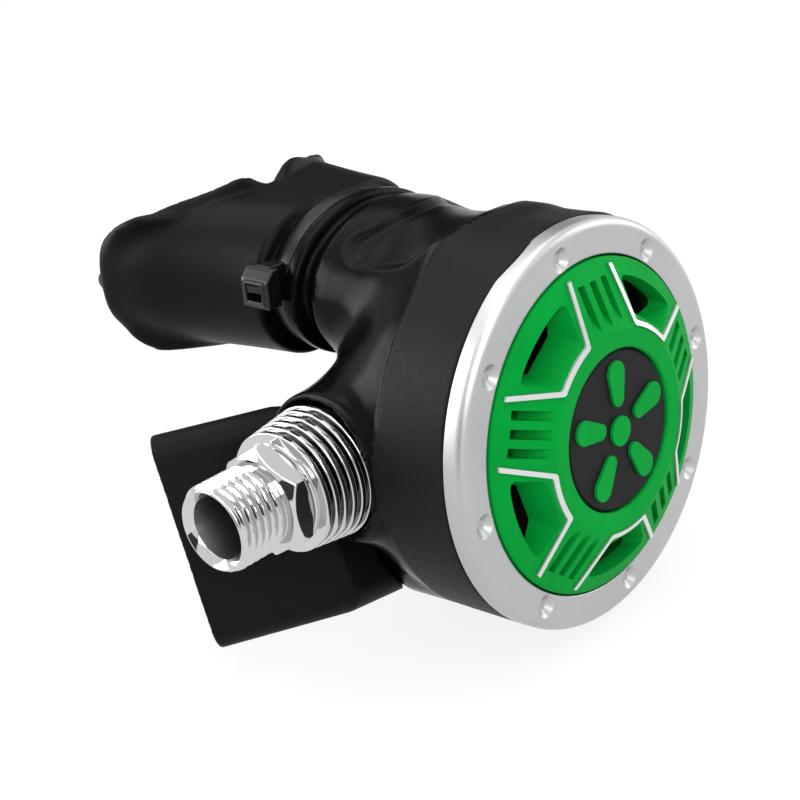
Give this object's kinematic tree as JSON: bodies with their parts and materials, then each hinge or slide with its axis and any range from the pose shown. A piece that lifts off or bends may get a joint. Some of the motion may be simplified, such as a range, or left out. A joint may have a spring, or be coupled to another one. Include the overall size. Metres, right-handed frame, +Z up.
{
  "type": "scuba second stage regulator",
  "caption": "Black scuba second stage with a green vented purge cover in a satin ring, finned inlet, exhaust tee and mouthpiece.",
  "frame": {"origin": "on the hose thread's axis, at the hexagon's shoulder where the hose nut stops", "axes": "X along the valve barrel from the inlet to the knob, Y from the purge cover to the mouthpiece, Z up"},
  "size_m": [0.1018, 0.0958, 0.0714],
  "materials": {
    "case_plastic": "moulded black plastic, grained band and glossy bowl",
    "ring_metal": "satin, rounded bevel",
    "cover_green": "matte moulded",
    "trim_silver": "satin silver",
    "button_black": "matte",
    "pad_green": "matte",
    "spring_steel": "drawn wire",
    "inner_plastic": "moulded",
    "silicone_clear": "soft silicone",
    "steel": "pressed",
    "washer_white": "moulded",
    "brass": "turned",
    "seat_rubber": "moulded",
    "chrome": "polished plate",
    "knob_black": "fluted",
    "tee_rubber": "matte",
    "mouth_silicone": "matte silicone",
    "tie_nylon": "smooth nylon"
  },
  "bodies": {
    "housing": {"case": "case_plastic", "face_ring": "ring_metal", "front_cover": "cover_green", "window_trim": "trim_silver", "purge_spring": "spring_steel", "purge_spider": "inner_plastic", "diaphragm": "silicone_clear", "diaphragm_washer": "washer_white", "valve_barrel": "brass", "orifice": "brass", "poppet_spring": "spring_steel", "knob_gland": "inner_plastic", "inlet_fitting": "chrome", "heat_exchanger": "chrome", "inlet_seal": "seat_rubber", "gland_seal": "seat_rubber", "screw_seal": "seat_rubber", "exhaust_spider": "inner_plastic", "exhaust_valve": "silicone_clear", "exhaust_tee": "tee_rubber", "mouthpiece": "mouth_silicone", "mouthpiece_tie": "tie_nylon"},
    "purge": {"purge_button": "button_black", "button_pads": "pad_green"},
    "plate": {"diaphragm_plate": "steel"},
    "lever": {"demand_lever": "steel"},
    "valve": {"poppet": "washer_white", "seat_disc": "seat_rubber", "poppet_nut": "brass"},
    "pad": {"spring_pad": "washer_white"},
    "knob": {"adjusting_screw": "steel", "adjusting_knob": "knob_black"},
    "vane": {"vane_lever": "knob_black", "flow_vane": "inner_plastic"}
  },
  "joints": [
    {"name": "purge_press", "type": "slide", "parent": "housing", "child": "purge", "axis": [0, 1, 0], "range_m": [0, 0.0045], "stiffness_N_per_m": 400, "springref_m": -0.004, "deforming": ["purge_spring", "diaphragm"]},
    {"name": "diaphragm_sink", "type": "slide", "parent": "housing", "child": "plate", "axis": [0, 1, 0], "range_m": [0, 0.0045], "deforming": ["diaphragm"]},
    {"name": "lever_rock", "type": "hinge", "parent": "housing", "child": "lever", "pos_m": [0.0571, -0.0031, 0], "axis": [0, 0, 1], "range_deg": [-19, 0]},
    {"name": "poppet_lift", "type": "slide", "parent": "housing", "child": "valve", "axis": [1, 0, 0], "range_m": [0, 0.0008], "deforming": ["poppet_spring"]},
    {"name": "knob_turn", "type": "hinge", "parent": "housing", "child": "knob", "pos_m": [0.0798, 0, 0], "axis": [1, 0, 0], "range_deg": [-540, 540]},
    {"name": "pad_travel", "type": "slide", "parent": "housing", "child": "pad", "axis": [1, 0, 0], "range_m": [-0.0012, 0.0012], "deforming": ["poppet_spring"]},
    {"name": "vane_turn", "type": "hinge", "parent": "housing", "child": "vane", "pos_m": [0.0461, 0.00788, 0.02068], "axis": [1, 0, 0], "range_deg": [-30, 30]}
  ],
  "couplings": [
    {"joint": "diaphragm_sink", "follows": "purge_press", "ratio": 1},
    {"joint": "lever_rock", "follows": "purge_press", "rad_per_m": -73.684},
    {"joint": "poppet_lift", "follows": "purge_press", "ratio": 0.17776},
    {"joint": "pad_travel", "follows": "knob_turn", "m_per_rad": -0.00012731}
  ]
}
